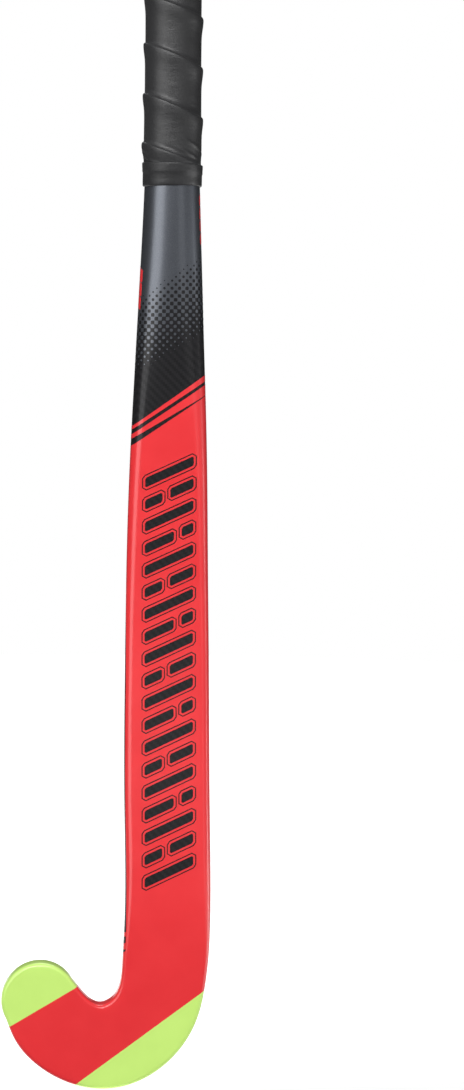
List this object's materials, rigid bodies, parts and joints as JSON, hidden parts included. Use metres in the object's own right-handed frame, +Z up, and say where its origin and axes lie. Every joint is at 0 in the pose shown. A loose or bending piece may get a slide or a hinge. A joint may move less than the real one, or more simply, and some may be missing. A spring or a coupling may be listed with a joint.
{
  "type": "field hockey stick",
  "caption": "Composite field hockey stick with a J-shaped head, flat playing face, rounded back, bowed hollow shaft, wound grip and butt plug.",
  "frame": {"origin": "on the axis of the handle, in the middle of the grip, 713 mm above the heel", "axes": "+Z up the stick to the butt, -Y out of the flat playing face, -X from the shaft towards the toe"},
  "size_m": [0.1162, 0.0483, 0.927],
  "materials": {
    "lacquered_laminate": "painted carbon laminate under clear lacquer",
    "inner_laminate": "bare cured laminate",
    "core_foam": "rigid moulded foam",
    "handle_foam": "light poured foam",
    "plug_plastic": "satin moulded plastic",
    "cushion_tape": "adhesive cushion tape",
    "grip_polyurethane": "soft matte polyurethane with a fine grain",
    "vinyl_tape": "stretched vinyl tape"
  },
  "bodies": {
    "root": {"outer_skin": "lacquered_laminate", "toe_side_tube": "inner_laminate", "heel_side_tube": "inner_laminate", "head_core": "core_foam", "toe_side_foam": "handle_foam", "heel_side_foam": "handle_foam", "end_plug": "plug_plastic", "grip_underlay": "cushion_tape", "grip_wrap": "grip_polyurethane", "finishing_tape": "vinyl_tape"}
  },
  "joints": []
}
